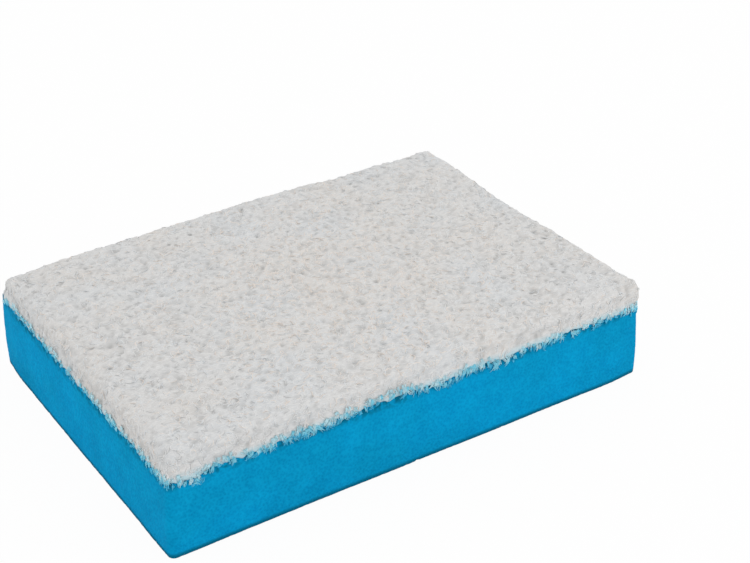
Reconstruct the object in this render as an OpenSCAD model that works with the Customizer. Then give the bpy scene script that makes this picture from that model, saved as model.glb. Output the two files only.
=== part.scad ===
// Cleaning sponge: a soft cellular foam block with a thick pad of matted scouring fibre
// bonded on top. Millimetres, +Z up, +X along the length. The origin is the middle of the
// foam's underside, which is the face that the sponge stands on.

/* [Foam block] */
// Length of the foam block
foam_l = 150; // [100:1:200]
// Width of the foam block
foam_w = 105; // [60:1:140]
// Height of the foam block, up to the bond with the pad
foam_h = 23.5; // [10:0.5:40]
// Radius of the four upright edges, as the cutting blade leaves them
upright_r = 1.5; // [0.5:0.1:3]
// Radius of the edges round the underside
base_r = 0.8; // [0.3:0.1:4]

/* [Scouring pad] */
// Height of the fibre pad above the bond
pad_h = 8; // [6:0.5:16]
// Radius of the roll-over along the pad's top edge
roll_r = 3.5; // [1:0.1:5]
// Furthest that a tuft at the pad's side stands past the foam
tuft_out = 0.6; // [0.5:0.05:1.5]
// Spacing of the points that the pad's skin passes through
nap_cell = 2.4; // [2.2:0.1:6]

/* [Nap of the pad] */
// Distance from one soft lump of the matted web to the next
lump_pitch = 9; // [5:0.5:20]
// Depth of the hollows between the lumps
lump_depth = 0.8; // [0:0.05:1.5]
// Depth of the roughness from one point of the skin to the next
nap_depth = 0.7; // [0:0.05:1]
// Depth of the small pits where the web is thin
pit_depth = 0.9; // [0:0.05:1.2]
// Share of the points that are pits
pit_share = 0.1; // [0:0.01:0.4]

/* [Fringe over the bond] */
// Longest stretch of the fringe that hangs down over the foam
fringe_long = 3.2; // [0.5:0.1:5]
// Shortest stretch of the fringe
fringe_short = 0.2; // [0.1:0.05:0.4]
// How much lower the fringe hangs at the four corners
fringe_corner = 0.8; // [0:0.1:3]
// Thickness of the fringe
fringe_t = 0.3; // [0.15:0.05:0.35]
// Clearance between the fringe and the foam's sides
fringe_gap = 0.15; // [0.15:0.05:0.4]

/* [Hidden] */
$fn = 64;

// The pad's skin is a net of columns by rows over the top, carried down the sides by rings
// of rim points that start at the front left corner and run to the right.
columns = round(foam_l / nap_cell);
rows = round(foam_w / nap_cell);
rim = 2 * (columns + rows);
pad_top = foam_h + pad_h;
wall_h = pad_h - roll_r;
wall_shares = [0.12, 0.4, 0.7, 1];
roll_angles = [30, 60, 90];
under_ring = 0;
fringe_inner_ring = 1;
fringe_outer_ring = 2;
first_wall_ring = 3;
first_roll_ring = first_wall_ring + len(wall_shares);
rings = first_roll_ring + len(roll_angles);

// How far the skin's points stray from an even net, on the top and up the sides
top_stray = 0.5 * nap_cell;
wall_stray = 0.15 * nap_cell;
// Shares of the longest tuft at the thinnest place, and of all points that reach full length
tuft_least = 0.2;
tuft_full = 0.2;
// Length beside each corner over which the fringe comes down lower
corner_reach = 9;
// A chord across the upright edge that stays outside its true round
corner_cut = upright_r * (1 - cos(45) / cos(22.5));

// Even random numbers from fixed seeds: one of each for every point of the skin
points_all = rings * rim + (columns - 1) * (rows - 1);
chance_x = rands(0, 1, points_all, 11);
chance_y = rands(0, 1, points_all, 23);
chance_z = rands(0, 1, points_all, 37);
chance_pit = rands(0, 1, points_all, 41);
lumps_x = ceil(foam_l / lump_pitch) + 2;
lumps_y = ceil(foam_w / lump_pitch) + 2;
lumps = rands(0, 1, lumps_x * lumps_y, 53);

// Eases a share from 0 to 1 without a kink at either end
function ease(t) = t * t * (3 - 2 * t);
function mix(a, b, t) = a + (b - a) * t;
function lump_at(i, j) = lumps[i + lumps_x * j];

// Depth of the hollows at a place: random levels on a coarse lattice, blended smoothly
function hollow(x, y) =
    let (u = (x + foam_l / 2) / lump_pitch, v = (y + foam_w / 2) / lump_pitch,
         i = floor(u), j = floor(v), s = ease(u - i), t = ease(v - j))
    lump_depth * mix(mix(lump_at(i, j), lump_at(i + 1, j), s),
                     mix(lump_at(i, j + 1), lump_at(i + 1, j + 1), s), t);

// Depth of the skin below the pad's highest level, at point k of the skin
function nap(x, y, k) =
    hollow(x, y) + nap_depth * chance_z[k] + (chance_pit[k] < pit_share ? pit_depth : 0);

// Position of net line i of n along a side, from 0 to 1, with one line at each upright edge
function line_at(i, n, side) =
    let (edge = upright_r / side)
    i <= 0 ? 0 : i >= n ? 1 : edge + (1 - 2 * edge) * (i - 1) / (n - 2);

// Place of rim point s on the unit square
function rim_place(s) =
    s < columns ? [line_at(s, columns, foam_l), 0]
    : s < columns + rows ? [1, line_at(s - columns, rows, foam_w)]
    : s < 2 * columns + rows ? [line_at(2 * columns + rows - s, columns, foam_l), 1]
    : [0, line_at(rim - s, rows, foam_w)];

function is_corner(s) = s == 0 || s == columns || s == columns + rows || s == 2 * columns + rows;

// Spreads a place on the unit square over the foam's outline, drawn in by an inset
function spread(place, inset) =
    [(2 * place[0] - 1) * (foam_l / 2 - inset), (2 * place[1] - 1) * (foam_w / 2 - inset)];

function rim_point(s, inset, z) =
    let (p = spread(rim_place(s), inset + (is_corner(s) ? corner_cut : 0))) [p[0], p[1], z];

// How near rim point s is to a corner: 1 at the corner, 0 past the reach
function nearness(s) =
    let (p = rim_place(s),
         along = max(min(p[0], 1 - p[0]) * foam_l, min(p[1], 1 - p[1]) * foam_w))
    ease(max(0, 1 - along / corner_reach));

function fringe_drop(s) =
    mix(fringe_short, fringe_long, chance_z[s] * sqrt(chance_x[s])) + fringe_corner * nearness(s);

// How far the tuft at point k stands out past the foam
function tuft(k) = tuft_out * mix(tuft_least, 1, min(1, chance_x[k] / (1 - tuft_full)));

// One ring of the pad's side: the two lips of the fringe, the upright wall, or the roll-over
function ring(r) = [for (s = [0 : rim - 1]) let (k = r * rim + s)
    r == under_ring ? rim_point(s, -fringe_gap, foam_h)
    : r == fringe_inner_ring ? rim_point(s, -fringe_gap, foam_h - fringe_drop(s))
    : r == fringe_outer_ring
        ? rim_point(s, -fringe_gap - fringe_t, foam_h - fringe_drop(s) + fringe_t / 2)
    : r < first_roll_ring ? wall_point(s, k, wall_shares[r - first_wall_ring])
    : roll_point(s, k, roll_angles[r - first_roll_ring])];

function wall_point(s, k, share) =
    rim_point(s, -tuft(k), foam_h + wall_h * share + wall_stray * (chance_y[k] - 0.5));

function roll_point(s, k, angle) =
    let (inset = roll_r * (1 - cos(angle)), flat = rim_point(s, inset, 0),
         depth = nap(flat[0], flat[1], k),
         out = mix(tuft(k), -depth, sin(angle)) * cos(angle))
    rim_point(s, inset - out, pad_top - roll_r * (1 - sin(angle)) - depth * sin(angle));

// Points of the top inside the last ring, each moved a little off its place in the net
top_points = [for (j = [1 : rows - 1], i = [1 : columns - 1])
    let (k = rings * rim + (j - 1) * (columns - 1) + i - 1,
         p = spread([line_at(i, columns, foam_l), line_at(j, rows, foam_w)], roll_r),
         loose = min(i, columns - i, j, rows - j) > 1 ? top_stray : 0,
         x = p[0] + loose * (chance_x[k] - 0.5), y = p[1] + loose * (chance_y[k] - 0.5))
    [x, y, pad_top - nap(x, y, k)]];

skin_points = concat([for (r = [0 : rings - 1]) each ring(r)], top_points);

// Number of the point at net place (i, j) of the top, on the last ring or inside it
function top_index(i, j) =
    let (last = (rings - 1) * rim)
    j == 0 ? last + i
    : i == columns ? last + columns + j
    : j == rows ? last + 2 * columns + rows - i
    : i == 0 ? last + rim - j
    : rings * rim + (j - 1) * (columns - 1) + i - 1;

// Splits a four-sided patch along one diagonal or the other, so that the net shows no grain
function patch(a, b, c, d, turn) = turn ? [[a, b, c], [a, c, d]] : [[a, b, d], [b, c, d]];

side_faces = [for (r = [0 : rings - 2], s = [0 : rim - 1])
    let (low = r * rim, high = low + rim, next = (s + 1) % rim)
    each patch(low + s, high + s, high + next, low + next, (r + s) % 2 == 0)];

top_faces = [for (j = [0 : rows - 1], i = [0 : columns - 1])
    each patch(top_index(i, j), top_index(i, j + 1), top_index(i + 1, j + 1),
               top_index(i + 1, j), (i + j) % 2 == 0)];

under_face = [for (s = [0 : rim - 1]) s];

// Rectangle with round corners, seen from above
module rounded_outline(l, w, r) {
    square([l - 2 * r, w], center = true);
    square([l, w - 2 * r], center = true);
    for (x = [-1, 1], y = [-1, 1])
        translate([x * (l / 2 - r), y * (w / 2 - r)]) circle(r);
}

// Upright section of the foam, square at the bond and rounded at the underside
module upright_section(side) {
    translate([-side / 2, base_r]) square([side, foam_h - base_r]);
    translate([base_r - side / 2, 0]) square([side - 2 * base_r, foam_h]);
    for (x = [-1, 1])
        translate([x * (side / 2 - base_r), base_r]) circle(base_r);
}

module foam_block() {
    color("#0a8ccb")
    intersection() {
        linear_extrude(foam_h) rounded_outline(foam_l, foam_w, upright_r);
        rotate([90, 0, 0])
            linear_extrude(foam_w, center = true) upright_section(foam_l);
        rotate([90, 0, 90])
            linear_extrude(foam_l, center = true) upright_section(foam_w);
    }
}

module scouring_pad() {
    color("#d6d5d2")
    polyhedron(skin_points, concat([under_face], side_faces, top_faces), convexity = 6);
}

foam_block();
scouring_pad();
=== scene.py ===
# Cleaning sponge: a block of blue cellular foam with a thick pad of off-white scouring fibre
# bonded over its top. The frame is in metres, and the sizes below are in millimetres.
import math

import bpy
import numpy as np
from mathutils import Matrix, Vector


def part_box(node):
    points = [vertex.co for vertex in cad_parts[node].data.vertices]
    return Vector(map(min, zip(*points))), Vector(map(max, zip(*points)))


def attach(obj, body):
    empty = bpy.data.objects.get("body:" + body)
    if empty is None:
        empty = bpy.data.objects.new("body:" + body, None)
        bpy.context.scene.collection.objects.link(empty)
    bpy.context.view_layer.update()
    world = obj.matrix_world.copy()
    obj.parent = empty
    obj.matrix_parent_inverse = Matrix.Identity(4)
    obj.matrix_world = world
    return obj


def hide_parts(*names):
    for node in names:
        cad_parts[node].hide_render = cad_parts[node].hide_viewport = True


mm = 0.001
# One number for each random pattern: another number gives another sponge of the same make
seeds = {
    "waver": 7, "ripple": 8, "lumps": 20, "pores": 40, "hem": 70, "stretch": 95,
    "foamGrain": 101, "foamPores": 131, "fibres": 300, "fringe": 400,
}

print("Loading the packed sponge")
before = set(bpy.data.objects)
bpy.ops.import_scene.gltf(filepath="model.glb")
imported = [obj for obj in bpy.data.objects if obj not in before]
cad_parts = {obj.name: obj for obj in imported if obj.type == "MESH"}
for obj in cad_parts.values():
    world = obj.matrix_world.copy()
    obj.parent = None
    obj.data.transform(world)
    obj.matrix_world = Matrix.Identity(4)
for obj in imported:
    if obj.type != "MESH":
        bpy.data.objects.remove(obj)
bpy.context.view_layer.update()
foamLow, foamHigh = (np.array(corner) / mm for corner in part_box("foam_block"))
padHigh = np.array(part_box("scouring_pad")[1]) / mm
halfLength = (foamHigh[0] - foamLow[0]) / 2
halfWidth = (foamHigh[1] - foamLow[1]) / 2
bondHeight = foamHigh[2]   # the plane where the pad is bonded to the foam
padTop = padHigh[2]


def toLinear(hexCode):
    # An sRGB hex colour as linear red, green, blue and alpha, by the sRGB standard's curve
    parts = [int(hexCode[k:k + 2], 16) / 255 for k in (1, 3, 5)]
    return tuple(c / 12.92 if c <= 0.04045 else ((c + 0.055) / 1.055) ** 2.4 for c in parts) + (1.0,)


def ease(share):
    # A smooth step: 0 below 0, 1 above 1, and 3t^2 - 2t^3 between
    share = np.clip(share, 0, 1)
    return share * share * (3 - 2 * share)


def latticeLevel(cell, seed):
    # An integer hash of a lattice point, with large odd numbers that mix its bits, scaled to a
    # level from 0 to 1
    mixed = (cell[..., 0] * 73856093) ^ (cell[..., 1] * 19349663) ^ (cell[..., 2] * 83492791)
    mixed = (mixed ^ (seed * 40503)) & 0xFFFFFFFF
    mixed = ((mixed ^ (mixed >> 15)) * 739982445) & 0xFFFFFFFF
    mixed = ((mixed ^ (mixed >> 12)) * 695872825) & 0xFFFFFFFF
    return ((mixed ^ (mixed >> 15)) & 0xFFFFFF) / 0xFFFFFF


def softNoise(points, pitch, seed):
    # Value noise: random levels on a cubic lattice of that pitch, blended by smooth steps
    place = points / pitch
    cell = np.floor(place).astype(np.int64)
    share = ease(place - cell)
    total = np.zeros(points.shape[:-1])
    for corner in np.ndindex(2, 2, 2):
        weight = np.where(corner, share, 1 - share).prod(axis=-1)
        total += weight * latticeLevel(cell + np.array(corner), seed)
    return total


def nearestSpot(points, pitch, seed):
    # Cell noise: one random spot in each lattice cell; gives the distance to the nearest spot
    # and a random level that belongs to it
    place = points / pitch
    cell = np.floor(place).astype(np.int64)
    gap = np.full(points.shape[:-1], 9.0)   # in cells, further than any spot can be
    level = np.zeros(points.shape[:-1])
    for step in np.ndindex(3, 3, 3):
        near = cell + np.array(step) - 1
        spot = near + np.stack([latticeLevel(near, seed + k) for k in range(3)], axis=-1)
        distance = np.linalg.norm(place - spot, axis=-1)
        closer = distance < gap
        gap = np.where(closer, distance, gap)
        level = np.where(closer, latticeLevel(near, seed + 3), level)
    return gap * pitch, level


def makePiece(name, points, faceLists, material):
    # A mesh from points in millimetres and arrays of faces, smooth shaded, riding on the sponge
    mesh = bpy.data.meshes.new(name)
    mesh.vertices.add(len(points))
    mesh.vertices.foreach_set("co", (points * mm).astype(np.float32).ravel())
    corners = np.concatenate([faces.ravel() for faces in faceLists])
    sizes = np.concatenate([np.full(len(faces), faces.shape[1]) for faces in faceLists])
    mesh.loops.add(len(corners))
    mesh.loops.foreach_set("vertex_index", corners.astype(np.int32))
    mesh.polygons.add(len(sizes))
    mesh.polygons.foreach_set("loop_start", (np.cumsum(sizes) - sizes).astype(np.int32))
    mesh.update(calc_edges=True)
    mesh.shade_smooth()
    mesh.materials.append(material)
    piece = bpy.data.objects.new(name, mesh)
    bpy.context.scene.collection.objects.link(piece)
    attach(piece, "root")
    triangles = int((sizes - 2).sum())
    print(f"  {name}: {triangles} triangles")
    return piece


def addNode(tree, kind, inputs, **settings):
    # Adds a node, sets its properties, and gives each input a value or a link from a socket
    node = tree.nodes.new(kind)
    for name, value in settings.items():
        setattr(node, name, value)
    for name, value in inputs.items():
        if isinstance(value, bpy.types.NodeSocket):
            tree.links.new(value, node.inputs[name])
        else:
            node.inputs[name].default_value = value
    return node


def newMaterial(name):
    # An empty node material, and its node tree
    material = bpy.data.materials.new(name)
    material.use_nodes = True
    material.node_tree.nodes.clear()
    return material, material.node_tree


def rimColumns(halfX, halfY, power, across, deep, turn):
    # Columns round a rectangle, anticlockwise from the front left: even steps along each side
    # and a fan of directions at each corner. A direction is scaled so that the powers of its
    # two parts add up to one: power 2 makes a round corner, and a higher power a squarer one.
    # i and j say which point of a grid over the rectangle each column starts from.
    one, fan = np.ones(turn - 1, int), np.arange(1, turn) / turn * np.pi / 2
    acrossSteps, deepSteps = np.arange(across + 1), np.arange(deep + 1)
    i = np.concatenate([acrossSteps, across * one, across + 0 * deepSteps, across * one,
                        acrossSteps[::-1], 0 * one, 0 * deepSteps, 0 * one])
    j = np.concatenate([0 * acrossSteps, 0 * one, deepSteps, deep * one,
                        deep + 0 * acrossSteps, deep * one, deepSteps[::-1], 0 * one])
    sides = [acrossSteps, deepSteps, acrossSteps, deepSteps]
    heading = np.concatenate([part for k, side in enumerate(sides)
                              for part in ((k - 1) * np.pi / 2 + 0.0 * side, (k - 1) * np.pi / 2 + fan)])
    direction = np.stack([np.cos(heading), np.sin(heading)], axis=-1)
    direction /= (np.abs(direction) ** power).sum(axis=-1, keepdims=True) ** (1 / power)
    base = np.stack([halfX * (2 * i / across - 1), halfY * (2 * j / deep - 1)], axis=-1)
    return base, direction, i, j


def wallFaces(columnCount, rowCount, first):
    # Four-sided faces between rings of columns, each ring above or inside the one before
    row = first + columnCount * np.arange(rowCount - 1)[:, None]
    column = np.arange(columnCount)[None, :]
    following = (column + 1) % columnCount
    return np.stack([row + column, row + following, row + columnCount + following,
                     row + columnCount + column], axis=-1).reshape(-1, 4)


def gridFaces(across, deep, first):
    # Four-sided faces of a flat grid, facing up
    corner = first + np.arange(across)[None, :] + (across + 1) * np.arange(deep)[:, None]
    return np.stack([corner, corner + 1, corner + across + 2, corner + across + 1],
                    axis=-1).reshape(-1, 4)


def joinFaces(gridEdge, ring):
    # Faces between a grid's edge points and the ring outside them: where the edge has the same
    # corner point twice, the face has three sides
    nextEdge, nextRing = np.roll(gridEdge, -1), np.roll(ring, -1)
    fours = np.stack([nextEdge, gridEdge, ring, nextRing], axis=-1)
    single = gridEdge == nextEdge
    return fours[~single], fours[single][:, 1:]


# The foam block

foam = {
    "uprightRadius": 1.0,     # of the four upright edges
    "baseRadius": 0.3,        # of the edges round the underside
    "flatRim": 0.35,          # how far the flat top and underside reach out into those edges
    "rimGive": 0.3,           # how far they draw back where an upright edge is worn
    "spacing": 0.55,          # between the mesh's columns and rows
    "turn": 6,                # columns round an upright edge
    "baseRows": 5,            # rows round an edge of the underside
    "flare": 0.55,            # how far the block stands out further at its base than at the bond
    "barrel": 0.4,            # how far a side swells half way up
    "belly": 0.25,            # how far a side's middle swells at the base
    # x, y, stand and radius of the fuller corners of the base, and of the blunter upright edges
    "feet": ((-74, -52, 0.35, 18), (74, -52, 0.5, 18)),
    "worn": ((-75, 53, -0.7, 7), (75, -53, -0.85, 7)),
    "waver": (26.0, 0.35),    # pitch and depth of the blade's slow wander
    "ripple": (7.0, 0.12),    # pitch and depth of the foam's own unevenness
    "bondShare": 0.3,         # share of both that is left at the bond
    # pitch and depth of the cells' relief, drawn coarser than the real 0.4 to 0.5, and their
    # radius in pitches
    "grain": (1.15, 0.09, 0.42),
    # pitch and depth of the odd larger cell, the level that makes one, and its least radius and
    # how fast that grows with the level
    "pores": (5.0, 0.30, 0.55, 0.3, 0.4),
    # sRGB colours, the first two each in a greener and a bluer tone, and the last a painted shade
    "deep": ("#0081AF", "#007FB5"),
    "pale": ("#089DCB", "#059DD0"),
    "paintedShade": "#046684",
    "cellSize": 0.75,         # of the cells in the colour, drawn coarser than the real 0.4 to 0.5
    "cellBump": 0.25,         # their height in the light
    "mottle": 6.0,            # size of the clouds of tone
    "patch": 21.0,            # size of its slow patches
    "shadeSpotSize": 1.4,              # size of the spots of painted shade below the bond, under the fringe
    "shadeReach": (3.8, 1.6),  # where they begin and are in full, below the bond
    "baseShadeReach": (0.8, 1.8),  # where the painted shade round the base is in full and ends, above the floor
}


def spotSum(points, spots):
    # The sum of round swells seen from above, each level * exp(-(distance / radius)^2)
    return sum(level * np.exp(-((points[..., 0] - x) ** 2 + (points[..., 1] - y) ** 2) / radius ** 2)
               for x, y, level, radius in spots)


def foamDents(points):
    # How deep the skin lies below the cut surface: a round dent at each cell, and at a few
    # spots a larger one, each falling off as exp(-(distance / radius)^2)
    pitch, depth, width = foam["grain"]
    gap, level = nearestSpot(points, pitch, seeds["foamGrain"])
    dents = depth * (0.5 + level) * np.exp(-(gap / (width * pitch)) ** 2)
    pitch, depth, threshold, least, growth = foam["pores"]
    gap, level = nearestSpot(points, pitch, seeds["foamPores"])
    radius = least + growth * np.clip(level - threshold, 0, 1)
    return dents + depth * (level > threshold) * np.exp(-(gap / radius) ** 2)


def foamBend(points):
    # How far the cut surface stands out from the plain block: wider towards the base, swollen
    # half way up as 4t(1 - t) and at the foot of each side's middle, and wavering as the blade went
    fall = 1 - points[..., 2] / bondHeight
    middle = np.minimum(1 - (points[..., 0] / halfLength) ** 2, 1) + np.minimum(
        1 - (points[..., 1] / halfWidth) ** 2, 1)
    out = foam["flare"] * fall + foam["barrel"] * 4 * fall * (1 - fall) + spotSum(points, foam["worn"])
    out += (foam["belly"] * np.clip(middle, 0, 1) + spotSum(points, foam["feet"])) * ease(fall)
    share = foam["bondShare"] + (1 - foam["bondShare"]) * fall
    for wave in ("waver", "ripple"):
        pitch, depth = foam[wave]
        out = out + depth * share * (softNoise(points, pitch, seeds[wave]) - 0.5)
    return out


def buildFoam(material):
    # The side is a surface over columns and rows: each column's place on the rectangle, plus its
    # direction times the row's reach, at the row's height, and then bent and dented
    radius, rounding, flatRim = foam["uprightRadius"], foam["baseRadius"], foam["flatRim"]
    spacing, turn = foam["spacing"], foam["turn"]
    halfX, halfY = halfLength - radius, halfWidth - radius
    across, deep = (2 * round(half / spacing) for half in (halfX, halfY))
    base, direction, _, _ = rimColumns(halfX, halfY, 2, across, deep, turn)
    count = len(base)

    # Rows of the side, from under the base out and up: the flat rim, the rounded edge as a
    # quarter circle, and the upright wall
    bend = np.linspace(-90, 0, foam["baseRows"]) * np.pi / 180
    wall = np.linspace(rounding, bondHeight, round((bondHeight - rounding) / spacing))[1:]
    out = np.concatenate([[flatRim], radius - rounding + rounding * np.cos(bend), 0 * wall + radius,
                          [flatRim]])
    height = np.concatenate([[0], rounding + rounding * np.sin(bend), wall, [bondHeight]])
    sideways = np.concatenate([[0], np.cos(bend), 0 * wall + 1, [0]])
    upward = np.concatenate([[1], -np.sin(bend), 0 * wall, [0]])
    rows = len(out)
    points = np.empty((rows, count, 3))
    points[..., :2] = base + direction * out[:, None, None]
    points[..., 2] = height[:, None]
    dents, stand = foamDents(points), foamBend(points)
    stand[[0, -1]] = np.clip(stand[[0, -1]], -foam["rimGive"], 0)   # the flat rims stay inside the wall
    points[..., :2] += direction * (stand - sideways[:, None] * dents)[..., None]
    points[..., 2] += upward[:, None] * dents

    # The underside is a grid of every second column, and the top, which the pad hides, a fan
    halfAcross, halfDeep = across // 2, deep // 2
    _, _, i, j = rimColumns(halfX, halfY, 2, halfAcross, halfDeep, turn // 2)
    x = np.linspace(-halfX, halfX, halfAcross + 1)
    y = np.linspace(-halfY, halfY, halfDeep + 1)
    under = np.stack([*np.meshgrid(x, y), np.zeros((halfDeep + 1, halfAcross + 1))], axis=-1)
    under[..., 2] = foamDents(under)
    firstUnder = rows * count
    lastPoint = firstUnder + under.reshape(-1, 3).shape[0]
    edge = firstUnder + j * (halfAcross + 1) + i
    nextEdge, even = np.roll(edge, -1), np.arange(0, count, 2)
    odd, following = even + 1, (even + 2) % count
    strip = np.concatenate([np.stack(corners, axis=-1) for corners in (
        (edge, nextEdge, odd), (edge, odd, even), (nextEdge, following, odd))])
    strip = strip[strip[:, 0] != strip[:, 1]]
    ring = (rows - 1) * count + np.arange(count)
    fan = np.stack([ring, np.roll(ring, -1), np.full(count, lastPoint)], axis=-1)
    allPoints = np.concatenate([points.reshape(-1, 3), under.reshape(-1, 3), [[0, 0, bondHeight]]])
    faces = [wallFaces(count, rows, 0), gridFaces(halfAcross, halfDeep, firstUnder)[:, ::-1], strip, fan]
    piece = makePiece("foam_block_cells", allPoints, faces, material)
    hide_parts("foam_block")


def foamMaterial():
    # Open-cell polyurethane foam, cut from the block with a blade: deep blue and dead matt, because
    # light is lost in the open cells, with a fine grain of cells a shade darker. Painted shade makes
    # it a dark teal in spots below the bond, under the overhanging fringe, and round the base.
    material, tree = newMaterial("polyurethaneFoam")
    place = addNode(tree, "ShaderNodeTexCoord", {}).outputs["Object"]
    cells = addNode(tree, "ShaderNodeTexVoronoi", {"Vector": place, "Scale": 1 / (foam["cellSize"] * mm)})
    clouds = addNode(tree, "ShaderNodeTexNoise", {
        "Vector": place, "Scale": 1 / (foam["mottle"] * mm), "Detail": 3.0})
    patches = addNode(tree, "ShaderNodeTexNoise", {
        "Vector": place, "Scale": 1 / (foam["patch"] * mm), "Detail": 2.0})

    # The tone from deep to pale is the sum of the distance in a cell, the clouds and the patches
    shade = addNode(tree, "ShaderNodeMapRange", {
        "Value": cells.outputs["Distance"], "From Min": 0.1, "From Max": 0.75, "To Min": 0.0,
        "To Max": 0.55})
    cloud = addNode(tree, "ShaderNodeMapRange", {
        "Value": clouds.outputs["Fac"], "From Min": 0.32, "From Max": 0.68, "To Min": 0.0,
        "To Max": 0.32})
    drift = addNode(tree, "ShaderNodeMapRange", {
        "Value": patches.outputs["Fac"], "From Min": 0.35, "From Max": 0.65, "To Min": -0.08,
        "To Max": 0.2})
    slow = addNode(tree, "ShaderNodeMath", {
        0: cloud.outputs["Result"], 1: drift.outputs["Result"]}, operation="ADD")
    amount = addNode(tree, "ShaderNodeMath", {
        0: shade.outputs["Result"], 1: slow.outputs[0]}, operation="ADD", use_clamp=True)
    hue = addNode(tree, "ShaderNodeMapRange", {
        "Value": patches.outputs["Fac"], "From Min": 0.35, "From Max": 0.65})
    deep, pale = (addNode(tree, "ShaderNodeMix", {
        "Factor": hue.outputs["Result"], "A": toLinear(greener), "B": toLinear(bluer)},
        data_type="RGBA") for greener, bluer in (foam["deep"], foam["pale"]))
    colour = addNode(tree, "ShaderNodeMix", {
        "Factor": amount.outputs[0], "A": deep.outputs["Result"], "B": pale.outputs["Result"]},
        data_type="RGBA")

    # Painted shade: in spots near the bond, under the fringe, and all along the base by the floor
    start, full = foam["shadeReach"]
    baseFull, baseEnd = foam["baseShadeReach"]
    height = addNode(tree, "ShaderNodeSeparateXYZ", {"Vector": place}).outputs["Z"]
    shadeSpots = addNode(tree, "ShaderNodeTexNoise", {
        "Vector": place, "Scale": 1 / (foam["shadeSpotSize"] * mm), "Detail": 1.0})
    spots = addNode(tree, "ShaderNodeMapRange", {
        "Value": shadeSpots.outputs["Fac"], "From Min": 0.42, "From Max": 0.6, "To Min": 0.15,
        "To Max": 1.0})
    near = addNode(tree, "ShaderNodeMapRange", {
        "Value": height, "From Min": (bondHeight - start) * mm, "From Max": (bondHeight - full) * mm})
    fringeShade = addNode(tree, "ShaderNodeMath", {
        0: near.outputs["Result"], 1: spots.outputs["Result"]}, operation="MULTIPLY")
    base = addNode(tree, "ShaderNodeMapRange", {
        "Value": height, "From Min": baseFull * mm, "From Max": baseEnd * mm, "To Min": 1.0,
        "To Max": 0.0})
    dark = addNode(tree, "ShaderNodeMath", {
        0: fringeShade.outputs[0], 1: base.outputs["Result"]}, operation="MAXIMUM")
    shadedColour = addNode(tree, "ShaderNodeMix", {
        "Factor": dark.outputs[0], "A": colour.outputs["Result"], "B": toLinear(foam["paintedShade"])},
        data_type="RGBA")
    bump = addNode(tree, "ShaderNodeBump", {
        "Height": cells.outputs["Distance"], "Strength": 0.35, "Distance": foam["cellBump"] * mm})
    shader = addNode(tree, "ShaderNodeBsdfPrincipled", {
        "Base Color": shadedColour.outputs["Result"], "Roughness": 0.95, "IOR": 1.5,
        "Specular IOR Level": 0.04, "Normal": bump.outputs["Normal"]})
    addNode(tree, "ShaderNodeOutputMaterial", {"Surface": shader.outputs["BSDF"]})
    return material


# The scouring pad's body

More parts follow.
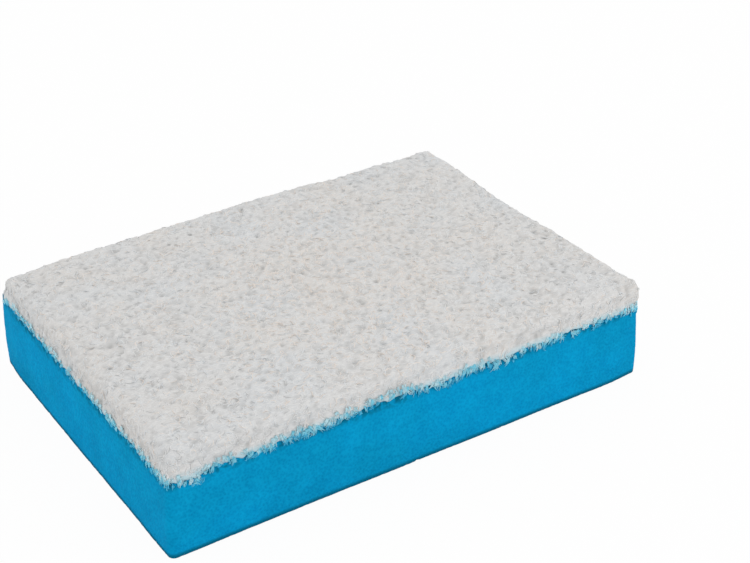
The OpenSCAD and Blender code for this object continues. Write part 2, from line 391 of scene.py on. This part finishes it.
pad = {
    "sink": 0.45,             # depth of the web's level below the solid's highest tuft
    "roll": 3.6,              # radius of the top edge
    "corners": (2.7, 6.0),    # powers of the corner's outline: round on top, squarer at the bond
    "spacing": 0.48,          # between the mesh's columns and rows
    "turn": 10,               # columns round a corner
    "lumps": ((2.6, 0.28), (1.25, 0.71)),    # pitch and depth of the matted web
    "pores": ((3.9, 0.5, 0.7, 0.6), (2.1, 0.4, 0.5, 0.45)),    # pitch, depth, radius and share
    "sideRelief": 0.55,       # share of that relief on the upright side
    "sideInset": 0.1,         # how far the upright side lies inside the wrapped sheet
    "hemStand": 0.28,         # how far the web stands out where it meets the foam
    "hemReach": 3.0,          # height over which it comes out to that
    "hemCalm": 0.7,           # share of the relief that is lost on the way
    # x, y, change and radius of the corners where it stands out less
    "hemIn": ((-76, 54, -1.0, 8), (76, -54, -0.7, 7)),
    # x, y, rise and radius of the slow thick and thin places
    "thick": ((6, 52, 0.5, 12), (26, 52, 0.4, 7), (-75, 54, -2.0, 16), (38, 52, -0.6, 8),
              (62, 52, -0.5, 12), (-44, 53, -0.5, 15), (74, 8, -1.2, 18), (75, -53, 1.4, 4)),
    "thinSide": 0.5,          # share of a thick or thin place that the upright side follows
    "hem": ((2.0, 1.0), (0.95, 0.9)),     # pitch and depth of the ragged lower edge
    "hemRarity": 1.5,         # power that makes its long tatters rarer than its short ones
    "hemLeast": -0.5,         # least drop of that edge: below zero it stays above the bond
    "hemRings": 4,            # rings of the mesh over it
    "lip": (0.06, 0.04, 1.0, 0.12),   # the skin behind it: stand below and at the bond, inset, rise
    "hemShare": 0.5,          # share of the slow drop below, which the fringe follows in full
    "hemCorner": 0.6,         # how much lower it hangs at the corners
    "cornerReach": 9.0,       # distance beside a corner over which it comes down
    "hemLean": (0.9, 0.4),    # how much lower it hangs towards the right and the front
    # x, y, drop and radius of lower and higher places, and of those of the web alone
    "hemPlaces": ((-75, 53, 3.0, 5), (-68, -54, 3.2, 4), (-49, -54, 1.1, 6), (-31, -54, 0.9, 4),
                  (-12, -54, -1.0, 5), (-5, -54, -0.6, 4), (6, -54, 1.4, 6), (27, -54, 1.8, 5),
                  (40, -54, 0.8, 4)),
    "webPlaces": ((75, -53, 1.5, 7), (-75, 53, 1.2, 4)),
    # sRGB colours: the ground, greyer than the strands as painted shade between them, in a warm and a
    # cool tone, and what lies on it
    "shadedGround": ("#CECAC6", "#CACCCE"),
    "strandColour": "#DBDBDA",
    # the grey of the painted shade in the hollows, and the blue near the bond
    "hollowShade": "#A4A4A3",
    "tintColour": "#98D0E0",
    "strand": 0.35,           # width of a strand in the colour, drawn coarser than the real 0.04
    "strandStretch": (0.2, 1.0, 0.6),   # of the noise, small along a strand
    "strandTurns": ((0.2, 0.3), (1.3, -0.4), (2.3, 0.5), (2.9, -0.2)),   # turn and tilt in radians
    "strandBump": 0.15,       # its height in the light
    "mottle": 22.0,           # size of the slow drift from warm to cool
    "hollowShadeRange": (0.45, 1.1, 0.65),   # depths where the painted shade begins and is in full, and its share
    "tintReach": (0.4, 1.4),  # how far below the bond the tint is in full, and above it ends
}
flatX, flatY = halfLength - pad["roll"], halfWidth - pad["roll"]
webTop = padTop - pad["sink"]
rollArc = pad["roll"] * np.pi / 2
wallHeight = webTop - pad["roll"] - bondHeight
wallEnd = rollArc + wallHeight


def poreDepth(points):
    # Depth of the thin places: each falls off as exp(-(distance / radius)^2) round its spot
    depth = np.zeros(points.shape[:-1])
    for k, (pitch, height, radius, share) in enumerate(pad["pores"]):
        gap, level = nearestSpot(points, pitch, seeds["pores"] + 10 * k)
        depth += height * (level < share) * np.exp(-(gap / radius) ** 2)
    return depth


def webDepth(points):
    # Depth of the web's surface below its highest level: two sizes of soft lump, and pores
    depth = poreDepth(points)
    for k, (pitch, height) in enumerate(pad["lumps"]):
        depth += height * softNoise(points, pitch, seeds["lumps"] + k)
    return depth


def sheetReach(u, v):
    # How far a place on the flat sheet lies past the pad's level middle: the overshoots in the
    # two directions, each raised to the corner's power, summed, and brought back by the root
    overX, overY = np.maximum(np.abs(u) - flatX, 0), np.maximum(np.abs(v) - flatY, 0)
    power = pad["corners"][0]
    return overX, overY, (overX ** power + overY ** power) ** (1 / power)


def wrapSheet(u, v):
    # Carries a flat sheet over the pad: level on top, round the edge as a quarter circle, then
    # straight down the side. Gives the place, the outward direction and the reach. Down the
    # side the corner's outline turns squarer, to fit the foam's.
    overX, overY, reach = sheetReach(u, v)
    safe = np.maximum(reach, 1e-6)
    aside = np.stack([overX / safe, overY / safe], axis=-1)
    low, high = pad["corners"]
    power = (low + (high - low) * ease((reach - rollArc) / wallHeight))[..., None]
    norm = (aside ** power).sum(axis=-1, keepdims=True) ** (1 / power)
    aside /= np.where(reach[..., None] > 0, np.maximum(norm, 1e-6), 1)
    aside *= np.stack([np.sign(u), np.sign(v)], axis=-1)
    angle = np.minimum(reach / pad["roll"], np.pi / 2)
    outward = np.concatenate([aside * np.sin(angle)[..., None], np.cos(angle)[..., None]], axis=-1)
    place = np.stack([np.clip(u, -flatX, flatX), np.clip(v, -flatY, flatY),
                      np.full(u.shape, webTop - pad["roll"])], axis=-1)
    place = place + pad["roll"] * outward
    place[..., 2] -= np.maximum(reach - rollArc, 0)
    return place, outward, reach


def webLift(place, reach):
    # How far the web's surface stands from the wrapped sheet: sunk by its depth, raised where
    # the pad is thick, and brought out over the foam towards the bond
    side = ease(reach / rollArc)
    hem = ease(1 + (reach - wallEnd) / pad["hemReach"])
    thick = spotSum(place, pad["thick"]) * (1 - (1 - pad["thinSide"]) * side)
    relief = (1 - (1 - pad["sideRelief"]) * side) * (1 - pad["hemCalm"] * hem)
    stand = (thick - pad["sideInset"] * side) * (1 - hem) + pad["hemStand"] * hem
    return stand + hem * spotSum(place, pad["hemIn"]) - relief * webDepth(place)


def hemLevel(place):
    # The slow part of how far the pad comes down below the bond: more at the corners, towards
    # the right and the front, and at a few places
    nearX, nearY = halfLength - np.abs(place[..., 0]), halfWidth - np.abs(place[..., 1])
    corner = ease(1 - np.maximum(nearX, nearY) / pad["cornerReach"])
    right, front = pad["hemLean"]
    return (pad["hemCorner"] * corner + spotSum(place, pad["hemPlaces"])
            + right * ease(0.5 + place[..., 0] / halfLength / 2)
            + front * ease(0.5 - place[..., 1] / halfWidth / 2))


def hemDrop(place):
    # How far below the bond the web's ragged edge hangs at a place round the rim: a share of
    # the slow drop, and two sizes of tatter, each a random level raised to a power
    level = place * np.array([1, 1, 0])
    return pad["hemLeast"] + pad["hemShare"] * hemLevel(place) + spotSum(place, pad["webPlaces"]) + sum(
        depth * softNoise(level, pitch, seeds["hem"] + k) ** pad["hemRarity"]
        for k, (pitch, depth) in enumerate(pad["hem"]))


def buildPadBody(material):
    # One closed skin: a grid over the top and rings round it, each point a place on the flat
    # sheet that is wrapped over the pad and moved outwards by the web's lift
    spacing, turn = pad["spacing"], pad["turn"]
    across, deep = (round(2 * half / spacing) for half in (flatX, flatY))
    base, direction, i, j = rimColumns(flatX, flatY, pad["corners"][0], across, deep, turn)
    count = len(base)
    x, y = np.linspace(-flatX, flatX, across + 1), np.linspace(-flatY, flatY, deep + 1)
    top, outward, reach = wrapSheet(*np.meshgrid(x, y))
    topDepth = webDepth(top)
    top = top + outward * webLift(top, reach)[..., None]

    # Rings down the roll-over and the wall to just above the bond, then on to the ragged edge
    rim, rimOut, _ = wrapSheet(*(base + direction * wallEnd).T)
    drop = hemDrop(rim)
    roll = np.linspace(0, rollArc, round(rollArc / spacing) + 1)[1:]
    wall = np.linspace(rollArc, wallEnd - spacing, round(wallHeight / spacing))[1:]
    hem = wall[-1] + np.linspace(0, 1, pad["hemRings"] + 1)[1:, None] * (spacing + drop)
    reaches = np.concatenate([np.repeat(np.concatenate([roll, wall])[:, None], count, axis=1), hem])
    side, outward, reach = wrapSheet(base[:, 0] + direction[:, 0] * reaches,
                                     base[:, 1] + direction[:, 1] * reaches)
    sideDepth = webDepth(side)
    side = side + outward * webLift(side, reach)[..., None]

    # Behind the ragged edge the skin turns in, goes up beside the foam and in over its top
    below, beside, inset, rise = pad["lip"]
    drawn = spotSum(rim, pad["hemIn"])[:, None]
    inner = np.stack([rim + rimOut * (below + drawn), rim + rimOut * (beside + drawn),
                      rim - rimOut * (inset - drawn)])
    inner[0, :, 2] += rise - drop
    rings = np.concatenate([side, inner])[::-1]
    rows = len(rings)
    firstTop = rows * count
    lastPoint = firstTop + (across + 1) * (deep + 1)
    edge = firstTop + j * (across + 1) + i
    upper = (rows - 1) * count + np.arange(count)
    fours, threes = joinFaces(edge, upper)
    lower = np.arange(count)
    fan = np.stack([np.roll(lower, -1), lower, np.full(count, lastPoint)], axis=-1)
    allPoints = np.concatenate([rings.reshape(-1, 3), top.reshape(-1, 3), [[0, 0, bondHeight]]])
    faces = [wallFaces(count, rows, 0), gridFaces(across, deep, firstTop), fours, threes, fan]
    piece = makePiece("scouring_pad_web", allPoints, faces, material)
    # Each point's depth, which the material turns into painted shade; the skin behind the ragged edge
    # counts as deepest and gets the most
    depths = np.concatenate([np.ones(len(inner) * count), sideDepth[::-1].ravel(),
                             topDepth.ravel(), [1]])
    hollow = piece.data.attributes.new("hollow", "FLOAT", "POINT")
    hollow.data.foreach_set("value", depths.astype(np.float32))
    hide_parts("scouring_pad")


def webMaterial():
    # Non-woven polyester and nylon fibre, carded into a loose web and set with resin: off-white
    # and matt. The strands have the fibres' own paler tone, and the ground between them and the
    # hollows are greyer as painted shade. Along the bond it has picked up the foam's blue.
    material, tree = newMaterial("nonWovenFibre")
    place = addNode(tree, "ShaderNodeTexCoord", {}).outputs["Object"]

    # Strands: the highest of a few noises, each stretched along a direction of its own
    strands = None
    for turn, tilt in pad["strandTurns"]:
        mapped = addNode(tree, "ShaderNodeMapping", {
            "Vector": place, "Rotation": (tilt, -tilt, turn), "Scale": pad["strandStretch"]})
        streak = addNode(tree, "ShaderNodeTexNoise", {
            "Vector": mapped.outputs["Vector"], "Scale": 1 / (pad["strand"] * mm), "Detail": 1.0})
        strands = streak.outputs["Fac"] if strands is None else addNode(tree, "ShaderNodeMath", {
            0: strands, 1: streak.outputs["Fac"]}, operation="MAXIMUM").outputs[0]
    height = addNode(tree, "ShaderNodeMapRange", {
        "Value": strands, "From Min": 0.5, "From Max": 0.78}).outputs["Result"]
    drift = addNode(tree, "ShaderNodeTexNoise", {
        "Vector": place, "Scale": 1 / (pad["mottle"] * mm), "Detail": 2.0})
    tone = addNode(tree, "ShaderNodeMapRange", {
        "Value": drift.outputs["Fac"], "From Min": 0.35, "From Max": 0.65})
    # The ground, greyer than the strands as painted shade, drifts from a warm to a cool tone
    warm, cool = pad["shadedGround"]
    shadedGround = addNode(tree, "ShaderNodeMix", {
        "Factor": tone.outputs["Result"], "A": toLinear(warm), "B": toLinear(cool)},
        data_type="RGBA")
    woven = addNode(tree, "ShaderNodeMix", {
        "Factor": height, "A": shadedGround.outputs["Result"], "B": toLinear(pad["strandColour"])},
        data_type="RGBA")

    # Greyer where the surface lies deep, as painted shade in the hollows, and bluer near the bond
    depth = addNode(tree, "ShaderNodeAttribute", {}, attribute_name="hollow")
    shallow, deep, most = pad["hollowShadeRange"]
    hollow = addNode(tree, "ShaderNodeMapRange", {
        "Value": depth.outputs["Fac"], "From Min": shallow, "From Max": deep, "To Min": 0.0,
        "To Max": most})
    colour = addNode(tree, "ShaderNodeMix", {
        "Factor": hollow.outputs["Result"], "A": woven.outputs["Result"],
        "B": toLinear(pad["hollowShade"])}, data_type="RGBA")
    below, above = pad["tintReach"]
    level = addNode(tree, "ShaderNodeSeparateXYZ", {"Vector": place}).outputs["Z"]
    near = addNode(tree, "ShaderNodeMapRange", {
        "Value": level, "From Min": (bondHeight - below) * mm, "From Max": (bondHeight + above) * mm,
        "To Min": 0.5, "To Max": 0.0})
    tinted = addNode(tree, "ShaderNodeMix", {
        "Factor": near.outputs["Result"], "A": colour.outputs["Result"],
        "B": toLinear(pad["tintColour"])}, data_type="RGBA")
    bump = addNode(tree, "ShaderNodeBump", {
        "Height": height, "Strength": 0.6, "Distance": pad["strandBump"] * mm})
    shader = addNode(tree, "ShaderNodeBsdfPrincipled", {
        "Base Color": tinted.outputs["Result"], "Roughness": 0.85, "IOR": 1.53,
        "Specular IOR Level": 0.15, "Normal": bump.outputs["Normal"]})
    addNode(tree, "ShaderNodeOutputMaterial", {"Surface": shader.outputs["BSDF"]})
    return material


# Loose fibres over the pad and the fringe below it

fibres = {
    # name, sRGB colour, number, and how far the set keeps to the warm place, or off it
    "sets": (
        ("white", "#DEDEDD", 3250, 0.0),
        ("bright", "#DCDCDC", 3250, 0.0),
        ("pale", "#D8DBDD", 3250, -0.8),
        ("cream", "#E2DAD3", 3250, 0.8),
    ),
    "warmth": (0, -6, 42),      # x, y and radius of the place where the cream ones gather
    "length": (1.6, 3.8),
    "radius": (0.11, 0.21),     # the real ones are about 0.03, drawn thicker to show
    "flatness": 0.4,            # thickness of a fibre as a share of its width
    "segments": 6,              # straight parts that a fibre is made of
    "crimp": (3.0, 5.0, 0.85),  # shortest and longest wave, and the angle that it swings each way
    "curl": 0.2,                # radians that a fibre turns besides in each millimetre
    "sunk": 0.1,                # depth of a fibre's ends in the web
    "rise": 0.04,               # typical height of its arch above the web
    "mostRise": 0.2,            # the greatest
    "archPower": 0.7,           # of the sine that the arch follows: below 1 it is fuller
    "upright": (0.6, 0.5),      # share of the side's fibres that run down it, and their spread
    "shyness": 4.0,             # how strongly fibres keep off the pores
    "turnAbove": (-0.2, 0.9),   # range of heights above the bond at which a fibre turns back
    "clearFrom": 0.2,           # height above the bond below which fibres clear the foam
    "clearance": 0.15,          # how far outside it they stay there
    "tries": 8,                 # candidates for each fibre
}
fringe = {
    # name, sRGB colour, number of tufts, and where they are rooted, from below the bond to above it
    "sets": (
        ("upper", "#C4E6EF", 380, (0.3, 2.2)),
        ("lower", "#8CD8EC", 520, (-0.3, 1.1)),
        ("lowest", "#55C1E4", 240, (-1.2, 0.1)),
    ),
    # x, y, share and radius of the stretches where it is thin
    "thin": ((-76, 20, 0.5, 36), (-76, -30, 0.3, 14), (-76, 55, 0.5, 10)),
    "fibresEach": 7,
    "spread": 0.38,             # of a tuft's fibres at its root
    "gather": 0.6,              # how much closer they come at its tip
    "length": (1.4, 3.1),       # shortest and longest fibre of a tuft of middle size
    "radius": (0.09, 0.145),    # drawn thicker to show, as above
    "segments": 4,
    "lean": 0.5,                # radians that a tuft hangs off plumb
    "bow": (0.3, 0.4),          # sideways bend, as a share of the length, and where it crosses back
    "hang": (0.5, 2.8),         # least and further length below the bond at which it is trimmed
    "trim": (0.3, 1),           # range of each fibre's share of that further length
    "middleLevel": 0.6,         # the pad's usual slow drop, which these heights are counted from
    "stretch": (8.0, 0.55, 1.05),   # pitch of longer and shorter stretches, and their range
    "tuftSize": (0.5, 1.2),     # range of the sizes of single tufts
    "lift": (0.18, 0.4, 0.25),  # stand of the root, and the further stand of the tip and the middle
    "puff": (0.2, 1),           # range of each fibre's share of the middle's stand
    "below": 1,                 # how far below the bond roots may lie
    "tries": 60,                # candidates for each tuft
}
tubeSides = np.array([90, 210, 330]) * np.pi / 180   # a fibre's cross-section is a triangle
tubeEnds = 0.45   # width of a fibre's ends, as a share of its width


def makeTubes(line, outward, radius, flatness=1.0):
    # Three-sided tubes along many lines at once. The cross-section is square to the line, with
    # its first side turned to the web's outward direction, and the ends are closed and thinner.
    along = np.gradient(line, axis=1)
    along /= np.linalg.norm(along, axis=-1, keepdims=True) + 1e-9
    aside = np.cross(along, outward)
    aside /= np.linalg.norm(aside, axis=-1, keepdims=True) + 1e-9
    upward = np.cross(aside, along)
    count, stations, _ = line.shape
    taper = np.full(stations, 1.0)
    taper[[0, -1]] = tubeEnds
    thick = radius[:, None, None] * taper[None, :, None]
    rings = np.stack([line + thick * (np.cos(turn) * aside + flatness * np.sin(turn) * upward)
                      for turn in tubeSides], axis=2)
    first = (np.arange(count) * stations * 3)[:, None, None]
    row = 3 * np.arange(stations - 1)[None, :, None]
    corner = np.arange(3)[None, None, :]
    low = first + row + corner
    lowNext = first + row + (corner + 1) % 3
    walls = np.stack([low, low + 3, lowNext + 3, lowNext], axis=-1).reshape(-1, 4)
    start = first[:, 0] + np.array([[0, 1, 2]])
    end = first[:, 0] + 3 * (stations - 1) + np.array([[2, 1, 0]])
    return rings.reshape(-1, 3), [walls, np.concatenate([start, end])]


def strayLines(rng, u, v, heading, length, stations):
    # Lines on the flat sheet. The heading swings as a sine wave of the line's own length and
    # phase, and drifts by an even curl and a little chance.
    count = len(u)
    step = (length / (stations - 1))[:, None]
    short, long, swing = fibres["crimp"]
    wave = rng.uniform(short, long, (count, 1))
    phase = rng.uniform(0, 2 * np.pi, (count, 1))
    run = step * np.arange(stations - 1)
    drift = rng.normal(0, fibres["curl"], (count, 1)) + rng.normal(0, fibres["curl"], run.shape)
    angle = heading[:, None] + swing * np.sin(2 * np.pi * run / wave + phase)
    angle = angle + np.cumsum(drift * step, axis=1)
    moves = np.stack([np.cos(angle), np.sin(angle)], axis=-1) * step[..., None]
    path = np.concatenate([np.zeros((count, 1, 2)), np.cumsum(moves, axis=1)], axis=1)
    return u[:, None] + path[..., 0], v[:, None] + path[..., 1]


def turnBack(u, v, limit):
    # A line that would reach past the limit turns back there, as a loop does: where its reach
    # would be the limit plus a distance, it is the limit less that distance
    overX, overY, reach = sheetReach(u, v)
    scale = np.where(reach > limit, (2 * limit - reach) / np.maximum(reach, 1e-6), 1)
    return (np.sign(u) * (np.minimum(np.abs(u), flatX) + overX * np.maximum(scale, 0)),
            np.sign(v) * (np.minimum(np.abs(v), flatY) + overY * np.maximum(scale, 0)))


def followHem(u, v):
    # Near the lower edge a line is carried down with the web's hem: the whole drop at the bond,
    # easing to none higher up
    place, outward, reach = wrapSheet(u, v)
    drop = pad["hemShare"] * np.maximum(hemLevel(place) - fringe["middleLevel"], 0)
    drop = (drop + spotSum(place, pad["webPlaces"])) * ease(1 + (reach - wallEnd) / pad["hemReach"])
    downward = np.arctan2(outward[..., 1], outward[..., 0])
    return u + drop * np.cos(downward), v + drop * np.sin(downward)


def fibreMaterial(name, hexCode):
    # Drawn polyester fibre: semi-matt, with a soft light along each one. Each set has a tone of
    # its own, off-white over the pad and tinted by the foam's blue in the fringe.
    material, tree = newMaterial(name + "Fibre")
    shader = addNode(tree, "ShaderNodeBsdfPrincipled", {
        "Base Color": toLinear(hexCode), "Roughness": 0.7, "IOR": 1.57, "Specular IOR Level": 0.2})
    addNode(tree, "ShaderNodeOutputMaterial", {"Surface": shader.outputs["BSDF"]})
    return material


def buildFibres(name, colour, count, warmth, seed):
    # Fibres lie along the web in every direction, and mostly downwards on the side: both ends
    # are sunk in it and the middle rises as an arch. Lines that would cross a pore are dropped
    # by chance, so that the pores stay open.
    rng = np.random.default_rng(seed)
    stations = fibres["segments"] + 1
    tries = fibres["tries"] * count
    u = rng.uniform(-flatX - wallEnd, flatX + wallEnd, tries)
    v = rng.uniform(-flatY - wallEnd, flatY + wallEnd, tries)
    kept = np.flatnonzero(sheetReach(u, v)[2] < wallEnd)
    u, v = u[kept], v[kept]
    tries = len(kept)
    _, outward, reach = wrapSheet(u, v)
    share, spread = fibres["upright"]
    downward = np.arctan2(outward[:, 1], outward[:, 0]) + rng.normal(0, spread, tries)
    upright = rng.uniform(0, 1, tries) < share * ease(2 * reach / rollArc - 1)
    heading = np.where(upright, downward, rng.uniform(0, 2 * np.pi, tries))
    length = rng.uniform(*fibres["length"], tries)
    u, v = strayLines(rng, u, v, heading, length, stations)
    u, v = (line - (line[:, stations // 2] - line[:, 0])[:, None] for line in (u, v))
    limit = wallEnd - rng.uniform(*fibres["turnAbove"], (tries, 1))
    u, v = followHem(*turnBack(u, v, limit))
    place, outward, reach = wrapSheet(u, v)
    x, y, radius = fibres["warmth"]
    wanted = 0.5 + 0.5 * warmth * (2 * spotSum(place[:, 0], ((x, y, 1, radius),)) - 1)
    wanted *= np.exp(-fibres["shyness"] * poreDepth(place).max(axis=1))
    kept = np.flatnonzero(rng.uniform(0, 1, tries) < wanted)[:count]
    place, outward, reach = place[kept], outward[kept], reach[kept]
    count = len(kept)
    arch = np.sin(np.linspace(0, np.pi, stations)) ** fibres["archPower"]
    rise = np.minimum(rng.exponential(fibres["rise"], (count, 1)), fibres["mostRise"])
    lift = webLift(place, reach) - fibres["sunk"] + (fibres["sunk"] + rise) * arch
    outside = fibres["clearance"] + spotSum(place, pad["hemIn"])
    lift = np.where(reach > wallEnd - fibres["clearFrom"], np.maximum(lift, outside), lift)
    line = place + outward * lift[..., None]
    radius = rng.uniform(*fibres["radius"], count)
    points, faces = makeTubes(line, outward, radius, fibres["flatness"])
    makePiece(name, points, faces, fibreMaterial(name, colour))


def buildFringe(name, colour, tufts, band, seed):
    # Tufts of a few fibres, rooted near the bond and hanging down over the foam. A fibre starts
    # to one side of its tuft's middle line, comes closer to it by an even share, and bows.
    rng = np.random.default_rng(seed)
    each, stations = fringe["fibresEach"], fringe["segments"] + 1
    tries = fringe["tries"] * tufts
    edge = wallEnd + fringe["below"]
    u = rng.uniform(-flatX - edge, flatX + edge, tries)
    v = rng.uniform(-flatY - edge, flatY + edge, tries)
    reach = sheetReach(u, v)[2]
    kept = np.flatnonzero((reach < wallEnd - band[0]) & (reach > wallEnd - band[1]))
    place = wrapSheet(u[kept], v[kept])[0]
    kept = kept[rng.uniform(0, 1, len(kept)) > spotSum(place, fringe["thin"])][:tufts]
    u, v = u[kept], v[kept]
    place, outward, _ = wrapSheet(u, v)
    downward = np.arctan2(outward[:, 1], outward[:, 0])
    level = hemLevel(place) - fringe["middleLevel"]
    u, v = u + level * np.cos(downward), v + level * np.sin(downward)
    pitch, least, most = fringe["stretch"]
    size = least + (most - least) * softNoise(place * np.array([1, 1, 0]), pitch, seeds["stretch"])
    size *= rng.uniform(*fringe["tuftSize"], len(kept)) * (1 - spotSum(place, fringe["thin"]))
    heading = downward + rng.normal(0, fringe["lean"], len(kept))
    tip = rng.uniform(0, 1, len(kept))
    u, v, size, heading, tip, level = (
        np.repeat(one, each)[:, None] for one in (u, v, size, heading, tip, level))
    count = len(u)
    share = np.linspace(0, 1, stations)
    length = size * rng.uniform(*fringe["length"], (count, 1))
    aside = rng.normal(0, fringe["spread"], (count, 1)) * (1 - fringe["gather"] * share)
    bow, crossing = fringe["bow"]
    aside = aside + rng.normal(0, bow, (count, 1)) * length * share * (share - crossing)
    along = length * share
    u = u + along * np.cos(heading) - aside * np.sin(heading)
    v = v + along * np.sin(heading) + aside * np.cos(heading)
    least, further = fringe["hang"]
    trim = rng.uniform(*fringe["trim"], (count, 1))
    u, v = turnBack(u, v, wallEnd + level + least + further * size * trim)
    place, outward, _ = wrapSheet(u, v)
    root, tipLift, middle = fringe["lift"]
    puff = middle * rng.uniform(*fringe["puff"], (count, 1))
    lift = root + tipLift * tip * share + puff * np.sin(np.pi * share)
    line = place + outward * (lift + spotSum(place, pad["hemIn"]))[..., None]
    points, faces = makeTubes(line, outward, rng.uniform(*fringe["radius"], count))
    makePiece(name, points, faces, fibreMaterial(name, colour))


print("Building the foam block")
buildFoam(foamMaterial())
print("Building the scouring pad")
buildPadBody(webMaterial())
print("Scattering the fibres and hanging the fringe")
for number, (tone, colour, count, warmth) in enumerate(fibres["sets"]):
    buildFibres(f"fibres_{tone}", colour, count, warmth, seeds["fibres"] + number)
for number, (place, colour, tufts, band) in enumerate(fringe["sets"]):
    buildFringe(f"fringe_{place}", colour, tufts, band, seeds["fringe"] + number)


# Floor, light and camera

studio = {
    "floorSize": 8.0,         # metres
    "floorGrey": 0.8,         # what the floor reflects
    "floorWhite": 0.96,       # share of plain white that the camera sees on the floor
    "dome": 1.04,             # strength of the even light all round
    # azimuth, elevation, distance, size in metres and watts of each soft lamp
    "lamps": (
        ("soft_left", -62, 30, 1.1, 0.9, 0.1),
        ("soft_right", 38, 24, 0.55, 0.4, 0.3),
    ),
}
view = {
    "azimuth": -33.36,        # degrees
    "elevation": 30.65,
    "distance": 0.5148,       # metres
    "target": (0.04044, 0.03188, 0.0),
    "focalPixels": 1616.0,    # focal length, in pixels of a picture of the width below
    "pictureWidth": 750,
    "sensorWidth": 36.0,      # millimetres
    "clip": (0.01, 20.0),     # metres
}
plainWhite = (1.0, 1.0, 1.0, 1.0)


def backDirection(azimuth, elevation):
    # From a target towards a viewer at that azimuth (0 looks along +Y) and elevation
    a, e = math.radians(azimuth), math.radians(elevation)
    return Vector((math.sin(a) * math.cos(e), -math.cos(a) * math.cos(e), math.sin(e)))


def aim(thing, target, azimuth, elevation, distance):
    # Sets a lamp or camera at that distance from a target, turned to look at it, and level
    back = backDirection(azimuth, elevation)
    right = Vector((0, 0, 1)).cross(back).normalized()
    turned = Matrix((right, back.cross(right), back)).transposed().to_4x4()
    thing.matrix_world = Matrix.Translation(Vector(target) + distance * back) @ turned
    bpy.context.scene.collection.objects.link(thing)


def buildFloor():
    # A level sheet that the camera sees as white, and that keeps the sponge's shadow
    material, tree = newMaterial("studioFloor")
    paths = addNode(tree, "ShaderNodeLightPath", {})
    seen = addNode(tree, "ShaderNodeMath", {0: paths.outputs["Is Camera Ray"], 1: studio["floorWhite"]},
                   operation="MULTIPLY")
    matt = addNode(tree, "ShaderNodeBsdfDiffuse", {"Color": (studio["floorGrey"],) * 3 + (1.0,)})
    white = addNode(tree, "ShaderNodeEmission", {"Color": plainWhite, "Strength": 1.0})
    mixed = addNode(tree, "ShaderNodeMixShader", {"Fac": seen.outputs[0]})
    tree.links.new(matt.outputs["BSDF"], mixed.inputs[1])
    tree.links.new(white.outputs["Emission"], mixed.inputs[2])
    addNode(tree, "ShaderNodeOutputMaterial", {"Surface": mixed.outputs["Shader"]})
    half = studio["floorSize"] / 2
    mesh = bpy.data.meshes.new("studio_floor")
    corners = [(-half, -half, 0), (half, -half, 0), (half, half, 0), (-half, half, 0)]
    mesh.from_pydata(corners, [], [(0, 1, 2, 3)])
    mesh.materials.append(material)
    floor = bpy.data.objects.new("studio_floor", mesh)
    bpy.context.scene.collection.objects.link(floor)


def buildLights():
    # An even dome of light, which the camera and any reflection see as plain white, and two
    # soft lamps
    world = bpy.data.worlds.new("studio")
    world.use_nodes = True
    tree = world.node_tree
    tree.nodes.clear()
    paths = addNode(tree, "ShaderNodeLightPath", {})
    seen = addNode(tree, "ShaderNodeMath", {
        0: paths.outputs["Is Camera Ray"], 1: paths.outputs["Is Glossy Ray"]},
        operation="ADD", use_clamp=True)
    dome = addNode(tree, "ShaderNodeBackground", {"Color": plainWhite, "Strength": studio["dome"]})
    backdrop = addNode(tree, "ShaderNodeBackground", {"Color": plainWhite, "Strength": 1.0})
    mixed = addNode(tree, "ShaderNodeMixShader", {"Fac": seen.outputs[0]})
    tree.links.new(dome.outputs["Background"], mixed.inputs[1])
    tree.links.new(backdrop.outputs["Background"], mixed.inputs[2])
    addNode(tree, "ShaderNodeOutputWorld", {"Surface": mixed.outputs["Shader"]})
    bpy.context.scene.world = world
    for name, azimuth, elevation, distance, size, watts in studio["lamps"]:
        lamp = bpy.data.lights.new(name, "AREA")
        lamp.size = size
        lamp.energy = watts
        aim(bpy.data.objects.new(name, lamp), (0, 0, 0), azimuth, elevation, distance)


def buildCamera():
    # The focal length is the sensor's width times the focal length in pixels over the picture's
    lens = bpy.data.cameras.new("camera")
    lens.sensor_width = view["sensorWidth"]
    lens.lens = lens.sensor_width * view["focalPixels"] / view["pictureWidth"]
    lens.clip_start, lens.clip_end = view["clip"]
    camera = bpy.data.objects.new("camera", lens)
    aim(camera, view["target"], view["azimuth"], view["elevation"], view["distance"])
    bpy.context.scene.camera = camera


print("Setting the floor, light and camera")
buildFloor()
buildLights()
buildCamera()
bpy.context.scene.view_settings.view_transform = "Standard"
